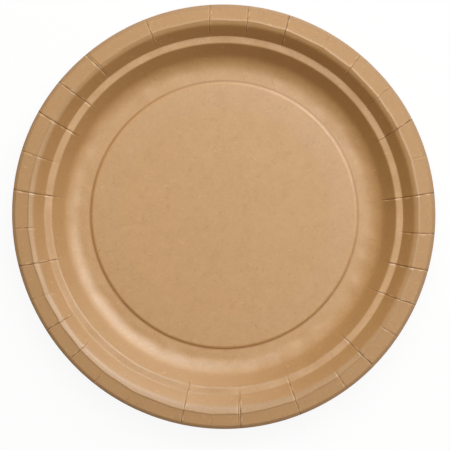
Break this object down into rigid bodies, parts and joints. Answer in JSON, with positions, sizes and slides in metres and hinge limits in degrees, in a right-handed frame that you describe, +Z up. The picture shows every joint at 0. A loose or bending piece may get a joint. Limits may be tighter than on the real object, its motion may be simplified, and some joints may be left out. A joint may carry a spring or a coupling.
{
  "type": "paper plate",
  "caption": "Round pressed kraft paper plate with a raised floor, a stepped wall and a wide pleated rim that turns down at its edge.",
  "frame": {"origin": "centre of the plate on the table that its foot ring stands on", "axes": "+Z up, out of the face that holds the food; +Y towards the top of the picture and +X to its right"},
  "size_m": [0.23, 0.23, 0.0196],
  "materials": {
    "kraft_board": "pressed unbleached kraft board, matt with a slight sheen where the press has burnished it"
  },
  "bodies": {
    "root": {"paper_plate": "kraft_board"}
  },
  "joints": []
}
